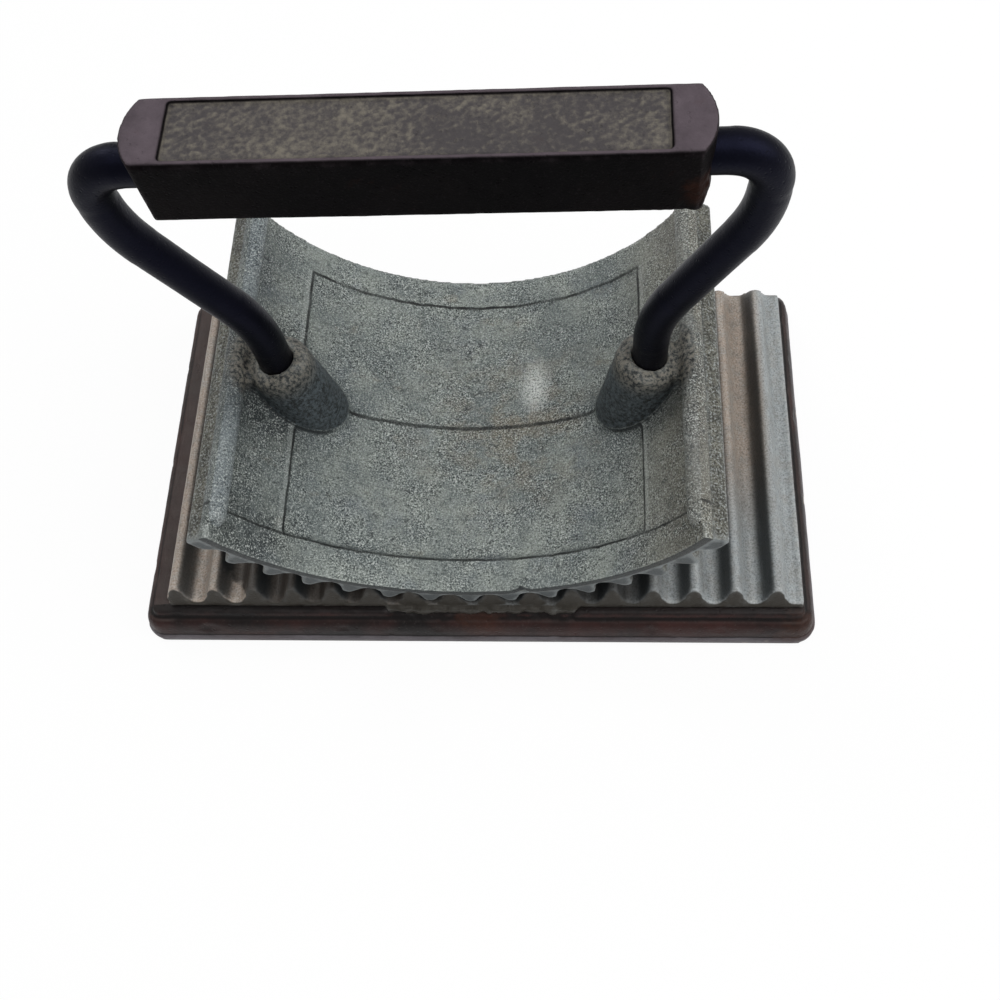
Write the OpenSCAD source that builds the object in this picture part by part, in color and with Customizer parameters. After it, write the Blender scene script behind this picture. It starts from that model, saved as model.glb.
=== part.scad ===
// Hand fluting iron: a fluted rocker with a bail handle, standing on a fluted bed.
// Origin: the middle of the base's underside.
// +X runs along the row of flutes, +Y points to the back and +Z points up.

/* [Iron base] */
// Length of the base along the row of flutes
base_l = 146; // [140:1:165]
// Depth of the base, front to back
base_w = 86; // [84:1:100]
// Height of the iron under the fluted bed
base_h = 9.4; // [8:0.1:12]
// Radius of the upright corners at the foot
base_corner_r = 4.6; // [4:0.1:8]
// Height of the plain band round the foot
foot_band_h = 2.6; // [1.5:0.1:3.5]
// Small ledge between the foot band and the cove above it
foot_ledge = 0.6; // [0.3:0.1:1]
// How far the moulded edge steps in from foot to top
edge_inset = 3.4; // [2.6:0.1:3.5]
// Height of the bead above the cove
bead_h = 1.6; // [0.8:0.1:2.2]
// Step from the cove in to the bead
bead_step = 0.5; // [0.2:0.1:0.8]
// Rise of the two small ledges in the moulded edge
ledge_rise = 0.3; // [0.1:0.1:0.6]

/* [Fluted bed] */
// Distance from one flute to the next
flute_spacing = 8.45; // [7.4:0.05:9.4]
// Height of the ribs above the flute bottoms
rib_h = 4.4; // [3:0.1:5]
// Metal left under the flute bottoms
bed_floor_t = 1.4; // [1:0.1:3]
// Bare iron left of the bed
bed_margin_left = 7.4; // [4:0.1:10]
// Bare iron right of the bed
bed_margin_right = 3.7; // [3.6:0.1:8]
// Bare iron in front of the bed
bed_margin_front = 4.8; // [4:0.1:6]
// Bare iron behind the bed
bed_margin_back = 3.7; // [3.6:0.1:6]
// How far the rib tops stand back from the foot of the bed
rib_end_slope = 1.8; // [0.5:0.1:3]

/* [Flute form] */
// Narrows the ribs and teeth and widens the flutes between them
flute_bias = 0.25; // [0:0.05:0.4]
// Rounds out the crests: 0 is a plain cosine wave
flute_fullness = 0.5; // [0:0.05:0.8]
// Points along each flute
flute_steps = 20; // [12:2:32]

/* [Keys under the bed] */
// Distance between the two keys that lock the bed to the iron
key_spacing = 76; // [40:1:100]
// Width of a key at the top of the iron
key_d = 8; // [5:0.5:12]
// How much wider a key is at its foot
key_undercut = 1.6; // [0.4:0.1:3]
// How deep a key reaches into the iron
key_depth = 4.5; // [2:0.1:6]

/* [Pour gate] */
// Width of the broken pour gate at the bed's front edge
gate_w = 40; // [20:1:60]
// Sideways place of the gate
gate_x = 2; // [-10:1:10]
// How deep the gate bites into the top of the iron
gate_depth = 1; // [0.4:0.1:1.4]
// How far the broken stub stands out in front of the bed
gate_reach = 1; // [0.4:0.1:1.3]
// Height of the broken stub above the iron
gate_lip = 0.9; // [0.4:0.1:1.2]

/* [Rocker] */
// Radius of the sole over the tooth tips
sole_tip_r = 56.3; // [52:0.1:62]
// Height of the teeth
tooth_h = 4.2; // [3:0.1:4.8]
// Metal between the tooth roots and the shell
sole_wall = 1.1; // [0.5:0.1:2]
// Thickness of the shell at its front and back lands
shell_t = 2; // [1.8:0.1:4]
// Teeth on each side of the middle one
teeth_each_side = 6; // [4:1:6]
// Half of the arc that the rocker covers
rocker_half_angle = 67; // [64:0.5:72]
// Depth of the shell, front to back
rocker_d = 76; // [68:1:78]
// Radius of the plain blocks that end the sole
end_block_r = 55; // [53.5:0.1:56]
// Rounding of the blocks' outer corners
end_block_edge = 0.8; // [0.4:0.1:2.4]
// How far the blocks stop below the shell's end faces
end_block_setback = 0.8; // [0.4:0.1:2]
// How far the sole stands back under the shell's front and back edges
sole_setback = 0.7; // [0.3:0.1:2]
// Room left for cloth between the tooth tips and the flute bottoms
cloth_gap = 0.95; // [0.9:0.05:1.4]

/* [Shell face] */
// Width of the front and back lands
land_w = 7; // [4:0.5:10]
// Drop from the front land to the field behind it
field_drop = 0.35; // [0.2:0.05:0.6]
// Half of the arc that the panel's front half covers
panel_half_angle = 46; // [40:1:54]
// How much narrower the panel's back half is on each side, in degrees
panel_taper = 0.6; // [0.3:0.1:2]
// Depth of the panel's back half below the field
panel_depth = 0.4; // [0.2:0.05:0.5]
// Narrow ledge between the front land and the panel
panel_ledge = 0.4; // [0.2:0.1:1]
// Extra depth of the panel's front half
panel_step = 0.2; // [0.1:0.05:0.3]
// Thickness of the round rail along each end
rail_d = 4.2; // [3:0.1:5]
// How far the rails stand out past the end faces
rail_overhang = 0.5; // [0.3:0.1:1]
// How far the rails stop short of the front edge
rail_stop = 3; // [2:0.1:6]
// How far the rails stop short of the back edge
rail_back_stop = 0.8; // [0.5:0.1:3]

/* [Bosses] */
// Distance of each boss from the middle, at its top
boss_x = 36.5; // [33:0.1:38]
// Height of the boss tops above the lowest land
boss_rise = 29.4; // [28:0.1:34]
// Width of a boss at its top
boss_top_d = 12.6; // [10:0.1:13]
// Width of a boss at its foot, inside the wall of the shell
boss_foot_d = 16; // [14:0.1:19]
// Length of a boss from its top to its foot
boss_l = 28.5; // [28:0.5:32]
// Rounding of a boss's top edge
boss_edge_r = 2.2; // [0.4:0.1:2.4]
// Lean of the bosses out from the middle
boss_lean = 7; // [4:1:14]
// Width of the metal that joins a boss to the wall of the shell
boss_web_w = 8; // [6:0.5:10]
// How far that metal stops below the top of the boss
boss_web_drop = 1.6; // [1:0.1:3]
// Depth of the rod socket in a boss
socket_depth = 12; // [8:0.5:13]

/* [Bail rod] */
// Thickness of the round rod
rod_d = 6.8; // [6:0.1:7.5]
// Upright length of the rod above a boss
leg_h = 5.5; // [3:0.5:8]
// Lean of the straight run out from upright
splay = 28.4; // [24:0.2:32]
// Bend radius where the rod leaves the upright leg
knee_r = 28; // [20:1:32]
// Bend radius where the run turns back upright
shoulder_r = 24; // [18:1:28]
// Upright length of the rod between the shoulder and the turn in to the grip
neck_l = 1.5; // [1:0.1:4]
// Bend radius of the turn in to the grip
eye_r = 6.8; // [6:0.1:8]
// How much thicker the rod is round its bends
bend_swell = 0.12; // [0.1:0.02:0.3]

/* [Grip] */
// Height of the rod through the grip above the lowest land
grip_rise = 85.4; // [80:0.1:92]
// How far the grip's middle stands above the rod
grip_lift = 0.6; // [0:0.1:1.2]
// Length of the grip over its crowned ends
grip_l = 86; // [78:1:90]
// Depth of the grip, front to back
grip_w = 13.2; // [11:0.1:16]
// Height of the grip
grip_h = 13.2; // [11:0.1:16]
// Crown of the grip's ends, seen from above
end_crown = 2.4; // [1:0.1:4]
// Bevel along the lower edges of the grip
lower_bevel = 1.2; // [1:0.1:3]
// Bevel along the upper edges of the grip
upper_bevel = 0.7; // [0.3:0.1:1.2]
// Run of the slanted cut under each end
end_cut = 3; // [2:0.1:6]
// Length of the sunk panel on top
grip_panel_l = 73; // [50:1:74]
// Rim left in front of and behind the sunk panel
grip_panel_rim = 1.1; // [0.8:0.1:2]
// Depth of the sunk panel
grip_panel_depth = 0.8; // [0.4:0.1:1.2]

/* [Hidden] */
$fn = 96;

// Small overlap that keeps cuts clear of the faces they pass through
slack = 0.5;

// Heights
flute_bottom_z = base_h + bed_floor_t;
roll_z = flute_bottom_z + cloth_gap + sole_tip_r;

// Radii of the rocker, from the tooth tips in
root_r = sole_tip_r - tooth_h;
seat_r = root_r - sole_wall;
land_r = seat_r - shell_t;
field_r = land_r + field_drop;
pitch_r = sole_tip_r - tooth_h / 2;

// Turn of the rocker from one flute to the next
tooth_angle = flute_spacing / pitch_r * 180 / PI;
toothed_half_angle = (teeth_each_side + 0.5) * tooth_angle;
sole_half_angle = rocker_half_angle - end_block_setback / end_block_r * 180 / PI;
rail_angle = rocker_half_angle - asin((rail_d / 2 - rail_overhang) / land_r);

// Metal that the bore of the sole cuts away inside its seat, and points along that inner line
bore_room = 2;
bore_steps = 12;

// Handle heights above the underside
land_z = roll_z - land_r;
boss_top_z = land_z + boss_rise;
leg_top_z = boss_top_z + leg_h;
rod_top_z = land_z + grip_rise;
grip_z = rod_top_z + grip_lift;

// Straight run of the rod between its knee and its shoulder
run_l = (rod_top_z - leg_top_z - (knee_r + shoulder_r) * sin(splay) - neck_l - eye_r) / cos(splay);
knee_end = [boss_x + knee_r * (1 - cos(splay)), leg_top_z + knee_r * sin(splay)];
run_end = knee_end + run_l * [sin(splay), cos(splay)];
shoulder_end = run_end + shoulder_r * [1 - cos(splay), sin(splay)];
eye_centre = shoulder_end + [-eye_r, neck_l];

// How far each straight of the rod runs on inside the bend next to it
lap = 0.4;

// Rise of the flute wave at turn u, from 0 in a flute bottom to 1 on a crest; u = 0 is a crest
function skewed(c) = c > flute_bias ? (c - flute_bias) / (1 - flute_bias) : (c - flute_bias) / (1 + flute_bias);
function filled(s) = s * (1 + flute_fullness) / (1 + flute_fullness * s * s);
function wave(u) = (1 + filled(skewed(cos(360 * u)))) / 2;

function polar(r, a) = [r * sin(a), -r * cos(a)];

// Outside of the sole at angle a from straight down: teeth, then a plain block with a rounded corner
function corner_cut(d, r) = d < r ? r - sqrt(r * r - (r - d) * (r - d)) : 0;
function block_r(a) = root_r + (end_block_r - root_r) * wave(0.5 + min(0.5, (a - toothed_half_angle) / tooth_angle))
    - corner_cut((sole_half_angle - a) * PI / 180 * end_block_r, end_block_edge);
function sole_r(a) = abs(a) < toothed_half_angle ? root_r + tooth_h * wave(a / tooth_angle) : block_r(abs(a));

// Edge of the base from the foot up, as [step in, height]
cove_top_z = base_h - bead_h;
cove_bottom_z = foot_band_h + ledge_rise;
cove_in = edge_inset - bead_step;
base_edge = concat(
    [[0, 0], [0, foot_band_h], [foot_ledge, cove_bottom_z]],
    [for (t = [15:15:90]) [foot_ledge + (cove_in - foot_ledge) * (1 - cos(t)),
                           cove_bottom_z + (cove_top_z - cove_bottom_z) * sin(t)]],
    [[edge_inset, cove_top_z + ledge_rise], [edge_inset, base_h]]
);

// A rectangular block whose four sides carry one moulded edge, turned round at the corners
module moulded_block(length, depth, corner_r, edge) {
    top = edge[len(edge) - 1][1];
    corner_half = concat([[0, 0]], [for (e = edge) [corner_r - e[0], e[1]]], [[0, top]]);
    for (sx = [-1, 1], sy = [-1, 1])
        translate([sx * (length / 2 - corner_r), sy * (depth / 2 - corner_r), 0])
            rotate_extrude()
                polygon(corner_half);
    rotate([90, 0, 90])
        linear_extrude(height = length - 2 * corner_r, center = true)
            polygon(mirrored_edge(depth / 2, edge));
    rotate([90, 0, 0])
        linear_extrude(height = depth - 2 * corner_r, center = true)
            polygon(mirrored_edge(length / 2, edge));
}

function mirrored_edge(half, edge) = concat(
    [for (e = edge) [half - e[0], e[1]]],
    [for (i = [len(edge) - 1:-1:0]) [edge[i][0] - half, edge[i][1]]]
);

// Seats the children at both key places
module at_keys() {
    for (s = [-1, 1])
        translate([s * key_spacing / 2, 0, base_h - key_depth])
            children();
}

module key_cone() {
    cylinder(h = key_depth, d1 = key_d + key_undercut, d2 = key_d);
}

// The bite that the pour gate takes out of the iron's top front edge
module gate_block(reach) {
    front = base_w / 2 - bed_margin_front;
    translate([gate_x - gate_w / 2, -front - reach, base_h - gate_depth])
        cube([gate_w, reach, gate_depth]);
}

// A curved wall round the roll centre, over Y from front to back
module arc_wall(r_in, r_out, half_angle, front, back) {
    translate([0, 0, roll_z])
        rotate([90, 0, 0])
            rotate([0, 0, -90 - half_angle])
                rotate_extrude(angle = 2 * half_angle)
                    translate([r_in, -back])
                        square([r_out - r_in, back - front]);
}

// A solid round bar along Y, centred on the roll centre
module roll_bar(r, length) {
    translate([0, 0, roll_z])
        rotate([90, 0, 0])
            cylinder(h = length, r = r, center = true);
}

module base_plate() {
    color("#3a2b2a")
        difference() {
            moulded_block(base_l, base_w, base_corner_r, base_edge);
            at_keys()
                key_cone();
            gate_block(bed_margin_front);
        }
}

// Section of the bed along the row of flutes
module bed_section() {
    x0 = bed_margin_left - base_l / 2;
    x1 = base_l / 2 - bed_margin_right;
    count = ceil((x1 - x0) / flute_spacing * flute_steps);
    crests = [for (i = [0:count])
        let (x = x0 + (x1 - x0) * i / count)
        [x, flute_bottom_z + rib_h * wave(x / flute_spacing + 0.5)]];
    polygon(concat([[x1, base_h], [x0, base_h]], crests));
}

module fluted_bed() {
    front = base_w / 2 - bed_margin_front;
    back = base_w / 2 - bed_margin_back;
    rise = bed_floor_t + rib_h;
    lean = atan(rib_end_slope / rise);
    color("#7d7b74") {
        difference() {
            translate([0, back, 0])
                rotate([90, 0, 0])
                    linear_extrude(height = front + back)
                        bed_section();
            translate([0, -front, base_h])
                rotate([-lean, 0, 0])
                    translate([-base_l / 2, -3 * rise, -slack])
                        cube([base_l, 3 * rise, 3 * rise]);
            translate([0, back, base_h])
                rotate([lean, 0, 0])
                    translate([-base_l / 2, 0, -slack])
                        cube([base_l, 3 * rise, 3 * rise]);
        }
        at_keys()
            key_cone();
        gate_block(gate_reach);
        translate([gate_x - gate_w / 2, -front - gate_reach, base_h])
            cube([gate_w, gate_reach + slack, gate_lip]);
    }
}

// The tapered boss that takes one end of the rod, on the +X side, with the metal between it and the wall
module boss() {
    edge = [for (t = [0:30:90]) [boss_top_d / 2 - boss_edge_r * (1 - sin(t)), boss_edge_r * (cos(t) - 1)]];
    translate([boss_x, 0, boss_top_z])
        rotate([0, boss_lean, 0])
            rotate_extrude()
                polygon(concat([[0, 0]], edge, [[boss_foot_d / 2, -boss_l], [0, -boss_l]]));
    translate([boss_x, -boss_web_w / 2, boss_top_z - boss_web_drop - socket_depth])
        cube([boss_top_d, boss_web_w, socket_depth]);
}

module rail() {
    front = rail_stop + rail_d / 2 - rocker_d / 2;
    back = rocker_d / 2 - rail_back_stop;
    place = polar(land_r, rail_angle);
    translate([place[0], front, roll_z + place[1]]) {
        sphere(d = rail_d);
        rotate([-90, 0, 0])
            cylinder(h = back - front, d = rail_d);
    }
}

module both_sides() {
    children();
    mirror([1, 0, 0])
        children();
}

module rocker_shell() {
    half = rocker_d / 2;
    inner = half - land_w;
    field_half_angle = rail_angle;
    color("#6f7d78")
        difference() {
            union() {
                difference() {
                    arc_wall(land_r, seat_r, rocker_half_angle, -half, half);
                    arc_wall(land_r - slack, field_r, field_half_angle, -inner, half + slack);
                    arc_wall(land_r - slack, field_r + panel_depth, panel_half_angle - panel_taper, -land_w, inner);
                    arc_wall(land_r - slack, field_r + panel_depth + panel_step, panel_half_angle, panel_ledge - inner, 0);
                }
                both_sides()
                    rail();
                intersection() {
                    both_sides()
                        boss();
                    roll_bar(field_r + panel_depth + panel_step + slack, rocker_d);
                }
            }
            both_sides()
                translate([boss_x, 0, boss_top_z - socket_depth])
                    cylinder(h = socket_depth + 2 * boss_top_d, d = rod_d);
        }
}

// Section of the sole square to the roll axis
module sole_section() {
    step = tooth_angle / flute_steps;
    count = ceil(2 * sole_half_angle / step);
    outside = [for (i = [0:count])
        let (a = sole_half_angle * (2 * i / count - 1))
        polar(sole_r(a), a)];
    inside = [for (i = [bore_steps:-1:0])
        polar(seat_r - bore_room, sole_half_angle * (2 * i / bore_steps - 1))];
    polygon(concat(outside, inside));
}

module fluted_sole() {
    color("#77766f")
        difference() {
            translate([0, 0, roll_z])
                rotate([90, 0, 0])
                    linear_extrude(height = rocker_d - 2 * sole_setback, center = true)
                        sole_section();
            roll_bar(seat_r, rocker_d);
        }
}

// A bend of the rod in the XZ plane, from one bearing round to the next
module rod_bend(centre, radius, from, turn) {
    translate([centre[0], 0, centre[1]])
        rotate([90, 0, 0])
            rotate([0, 0, from])
                rotate_extrude(angle = turn)
                    translate([radius, 0])
                        circle(d = rod_d + bend_swell);
}

module rod_side() {
    translate([boss_x, 0, boss_top_z - socket_depth])
        cylinder(h = socket_depth + leg_h + lap, d = rod_d);
    rod_bend([boss_x + knee_r, leg_top_z], knee_r, 180 - splay, splay);
    translate([knee_end[0], 0, knee_end[1]])
        rotate([0, splay, 0])
            translate([0, 0, -lap])
                cylinder(h = run_l + 2 * lap, d = rod_d);
    rod_bend(run_end + shoulder_r * [-cos(splay), sin(splay)], shoulder_r, -splay, splay);
    translate([shoulder_end[0], 0, shoulder_end[1] - lap])
        cylinder(h = neck_l + 2 * lap, d = rod_d);
    rod_bend(eye_centre, eye_r, 0, 90);
}

module bail_rod() {
    color("#22242a") {
        both_sides()
            rod_side();
        translate([0, 0, rod_top_z])
            rotate([0, 90, 0])
                cylinder(h = 2 * (eye_centre[0] + lap), d = rod_d, center = true);
    }
}

// Outline of the grip from above: straight sides and crowned ends
module grip_plan() {
    crown_r = (grip_w * grip_w / 4 + end_crown * end_crown) / (2 * end_crown);
    intersection() {
        square([grip_l, grip_w], center = true);
        union() {
            square([grip_l - 2 * end_crown, grip_w], center = true);
            for (s = [-1, 1])
                translate([s * (grip_l / 2 - crown_r), 0])
                    circle(r = crown_r);
        }
    }
}

// A long square bar that bevels one of the grip's long edges
module edge_bevel(y, z, size) {
    translate([0, y, z])
        rotate([45, 0, 0])
            cube([grip_l + 2, size * sqrt(2), size * sqrt(2)], center = true);
}

module handle_grip() {
    cut_angle = atan(end_cut / (grip_h / 2));
    color("#352d33")
        difference() {
            translate([0, 0, grip_z - grip_h / 2])
                linear_extrude(height = grip_h)
                    grip_plan();
            for (s = [-1, 1]) {
                edge_bevel(s * grip_w / 2, grip_z - grip_h / 2, lower_bevel);
                edge_bevel(s * grip_w / 2, grip_z + grip_h / 2, upper_bevel);
            }
            both_sides()
                translate([grip_l / 2, 0, rod_top_z - rod_d / 2])
                    rotate([0, cut_angle, 0])
                        translate([0, -grip_w, -2 * grip_h])
                            cube([grip_h, 2 * grip_w, 2 * grip_h]);
            translate([0, 0, grip_z + grip_h / 2 + grip_panel_depth])
                cube([grip_panel_l, grip_w - 2 * grip_panel_rim, 4 * grip_panel_depth], center = true);
            translate([0, 0, rod_top_z])
                rotate([0, 90, 0])
                    cylinder(h = grip_l + 2, d = rod_d, center = true);
        }
}

base_plate();
fluted_bed();
rocker_shell();
fluted_sole();
bail_rod();
handle_grip();
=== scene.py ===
"""Looks of a hand fluting iron: old castings of zinc and iron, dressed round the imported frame."""

import logging
import math
from dataclasses import dataclass
from enum import Enum
from functools import cached_property, reduce

import bpy
import numpy as np
from mathutils import Matrix, Vector, noise


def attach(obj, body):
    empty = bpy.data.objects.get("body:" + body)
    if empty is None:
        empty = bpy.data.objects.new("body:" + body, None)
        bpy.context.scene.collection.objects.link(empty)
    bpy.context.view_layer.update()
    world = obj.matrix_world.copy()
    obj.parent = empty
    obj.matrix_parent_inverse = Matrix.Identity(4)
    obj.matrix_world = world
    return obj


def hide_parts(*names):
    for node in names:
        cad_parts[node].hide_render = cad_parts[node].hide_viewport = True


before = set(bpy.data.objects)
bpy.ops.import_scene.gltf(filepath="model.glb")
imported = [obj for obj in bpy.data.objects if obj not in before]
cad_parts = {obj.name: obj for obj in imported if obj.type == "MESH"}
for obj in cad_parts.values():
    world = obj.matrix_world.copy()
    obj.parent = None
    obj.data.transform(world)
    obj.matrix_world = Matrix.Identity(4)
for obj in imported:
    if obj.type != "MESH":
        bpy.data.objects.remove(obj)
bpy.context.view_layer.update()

MM = 0.001
IMAGE_SIDE_PX = 1000
SENSOR_MM = 36.0
EDGE_ATTRIBUTE = "cast_edge"
HOLLOW_ATTRIBUTE = "cast_hollow"
FULL_BEND = 0.22
BEND_ROUNDS = 2

# Sizes of the solids that the finishes and the casting flaws follow
ROLL_Z_MM = 68.05
FIELD_R_MM = 49.35
RAISED_R_MM = 48.6
PANEL_HALF_MM = math.radians(46.0) * FIELD_R_MM
PANEL_Y_MM = 31.0
BOSS_X_MM = 36.5
BOSS_TOP_MM = 48.45
BOSS_SLOPE = math.tan(math.radians(7.0))
GATE_LEFT_MM = -18.0
GATE_RIGHT_MM = 22.0
GATE_FADE_MM = (0.8, 0.6)
GATE_FRONT_MM = (-37.4, -38.4)
GRIP_FLOOR_MM = 110.85

log = logging.getLogger("fluting_iron")

Colour = tuple[float, float, float, float]
Pair = tuple[float, float]
Point = tuple[float, float, float]
Spot = tuple[float, float, float, float]
Array = np.ndarray
Socket = bpy.types.NodeSocket
Outputs = bpy.types.bpy_prop_collection

EVEN: Point = (1.0, 1.0, 1.0)
SEED_SHIFT: Point = (1.0, 0.37, 1.71)

# Sockets of the Mix node when it mixes colours
MIX_MASK, MIX_UNDER, MIX_OVER, MIX_RESULT = 0, 6, 7, 2


def linear(hex_code: str) -> Colour:
    """A shader colour from a six-digit screen colour.

    Args:
        hex_code: red, green and blue as they look on a screen, two digits each.

    Returns:
        The linear red, green, blue and an alpha of one.
    """
    channels = [int(hex_code[i:i + 2], 16) / 255 for i in (0, 2, 4)]
    shades = [c / 12.92 if c <= 0.04045 else ((c + 0.055) / 1.055) ** 2.4 for c in channels]
    return (shades[0], shades[1], shades[2], 1.0)


@dataclass(frozen=True)
class Levels:
    """How a value becomes a mask: nothing at one level, full at the other, times a share."""

    none: float
    full: float
    share: float = 1.0


@dataclass(frozen=True)
class Cloud:
    """Soft noise: the width of its blots, how finely it breaks up and how its coordinates are scaled."""

    size_mm: float
    detail: float = 4.0
    rough: float = 0.55
    scale: Point = EVEN


BROKEN = Levels(none=0.34, full=0.66)


class Graph:
    """Short calls that add nodes to one shader tree."""

    def __init__(self, tree: bpy.types.NodeTree) -> None:
        """Keeps the tree that the calls add to."""
        self.tree = tree

    def feed(self, socket: Socket, value: object) -> None:
        """Sets an input.

        Args:
            socket: the input to set.
            value: another node's output or a plain value.
        """
        if isinstance(value, Socket):
            self.tree.links.new(value, socket)
        else:
            socket.default_value = value

    def add(self, kind: str, inputs: dict | None = None, **settings: object) -> Outputs:
        """Adds a node.

        Args:
            kind: the node's type name, without the ShaderNode prefix.
            inputs: what goes into it, by the input's name or number.
            settings: properties of the node itself.

        Returns:
            The new node's outputs.
        """
        made = self.tree.nodes.new("ShaderNode" + kind)
        for name, value in settings.items():
            setattr(made, name, value)
        for name, value in (inputs or {}).items():
            self.feed(made.inputs[name], value)
        return made.outputs

    def maths(self, operation: str, a: object, b: object = 0.0, clamp: bool = False) -> Socket:
        """The result of one operation on one or two values."""
        return self.add("Math", {0: a, 1: b}, operation=operation, use_clamp=clamp)[0]

    def times(self, *masks: object) -> Socket:
        """The product of masks, kept between nothing and one."""
        return reduce(lambda a, b: self.maths("MULTIPLY", a, b, clamp=True), masks)

    def most(self, *masks: Socket) -> Socket:
        """The greatest of several masks at each point."""
        return reduce(lambda a, b: self.maths("MAXIMUM", a, b), masks)

    def hypot(self, a: Socket, b: Socket) -> Socket:
        """The length of a step that goes a one way and b square to it."""
        squares = self.maths("ADD", self.maths("POWER", a, 2.0), self.maths("POWER", b, 2.0))
        return self.maths("SQRT", squares)

    def mask(self, value: Socket, levels: Levels) -> Socket:
        """A mask that rises smoothly between two levels of a value.

        Args:
            value: what decides.
            levels: where the mask is nothing and where it is full, and its share.

        Returns:
            The mask.
        """
        limits = {"Value": value, "From Min": levels.none, "From Max": levels.full}
        full = self.add("MapRange", limits, interpolation_type="SMOOTHSTEP")["Result"]
        return full if levels.share == 1.0 else self.times(full, levels.share)

    def reach(self, distance: Socket, levels_mm: Levels) -> Socket:
        """A mask over a distance, with its levels in millimetres."""
        return self.mask(distance, Levels(levels_mm.none * MM, levels_mm.full * MM, levels_mm.share))

    def line(self, distance: Socket, at_mm: float, half_mm: float, core: float = 0.35) -> Socket:
        """A thin line where a distance takes one value, full over the core of its half width."""
        off = self.maths("ABSOLUTE", self.maths("SUBTRACT", distance, at_mm * MM))
        return self.reach(off, Levels(none=half_mm, full=core * half_mm))

    def span(self, value: Socket, low: float, high: float) -> Socket:
        """A value from nothing to one, spread between low and high."""
        return self.add("MapRange", {"Value": value, "To Min": low, "To Max": high})["Result"]

    def blend(self, mask: object, under: object, over: object) -> Socket:
        """One colour laid over another through a mask."""
        inputs = {MIX_MASK: mask, MIX_UNDER: under, MIX_OVER: over}
        return self.add("Mix", inputs, data_type="RGBA", blend_type="MIX")[MIX_RESULT]

    def lay(self, colour: object, *layers: tuple[Socket, str]) -> Socket:
        """The colour under layers in their order, each a mask and a screen colour."""
        return reduce(lambda under, layer: self.blend(layer[0], under, linear(layer[1])), layers, colour)

    def stretch(self, where: Socket, factors: Point) -> Socket:
        """Coordinates scaled along each axis, so that noise draws out into streaks."""
        return self.add("VectorMath", {0: where, 1: factors}, operation="MULTIPLY")[0]

    def cloud(self, kind: Cloud, where: Socket | None = None) -> Socket:
        """Soft noise between nothing and one.

        Args:
            kind: the noise's size and roughness.
            where: other coordinates, where they aren't the piece's own.

        Returns:
            The noise.
        """
        where = self.place if where is None else where
        where = where if kind.scale == EVEN else self.stretch(where, kind.scale)
        scale = 1 / (kind.size_mm * MM)
        inputs = {"Vector": where, "Scale": scale, "Detail": kind.detail, "Roughness": kind.rough}
        return self.add("TexNoise", inputs)["Fac"]

    def wander(self, size_mm: float, reach_mm: float) -> Socket:
        """A small distance that wavers to both sides, for ragged lines."""
        wavy = self.cloud(Cloud(size_mm, detail=5.0, rough=0.65))
        return self.span(wavy, -reach_mm * MM, reach_mm * MM)

    @cached_property
    def place(self) -> Socket:
        """The point on the piece, in its own metres."""
        return self.add("TexCoord")["Object"]

    @cached_property
    def facing(self) -> Outputs:
        """The direction out of the surface, split into X, Y and Z."""
        return self.axes(self.add("TexCoord")["Normal"])

    def axes(self, where: Socket) -> Outputs:
        """A place or direction split into X, Y and Z."""
        return self.add("SeparateXYZ", {0: where})

    def mark(self, name: str) -> Socket:
        """A value that the mesh carries at each point."""
        return self.add("Attribute", attribute_name=name)["Fac"]

    def use(self, group: bpy.types.NodeTree, **inputs: object) -> Outputs:
        """Places a node group, with its inputs named in lower case, and gives its outputs."""
        named = {name.capitalize(): value for name, value in inputs.items()}
        return self.add("Group", named, node_tree=group)


class GroupMaker:
    """Makes one shader node group with named inputs and outputs."""

    def __init__(self, name: str, inputs: dict[str, float], outputs: tuple[str, ...]) -> None:
        """Makes the group's sockets and its end nodes.

        Args:
            name: the group's name.
            inputs: each input and its usual value.
            outputs: the values that the group gives out.
        """
        self.tree = bpy.data.node_groups.new(name, "ShaderNodeTree")
        for label, usual in inputs.items():
            socket = self.tree.interface.new_socket(label, in_out="INPUT", socket_type="NodeSocketFloat")
            socket.default_value = usual
        for label in outputs:
            self.tree.interface.new_socket(label, in_out="OUTPUT", socket_type="NodeSocketFloat")
        self.graph = Graph(self.tree)
        self.given = self.tree.nodes.new("NodeGroupInput").outputs
        self.end = self.tree.nodes.new("NodeGroupOutput").inputs

    def finish(self, **results: Socket) -> bpy.types.NodeTree:
        """Links the results, named in lower case, to the outputs and gives the group.

        Args:
            results: a value for each output.

        Returns:
            The finished group.
        """
        for name, value in results.items():
            self.graph.feed(self.end[name.capitalize()], value)
        return self.tree


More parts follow.
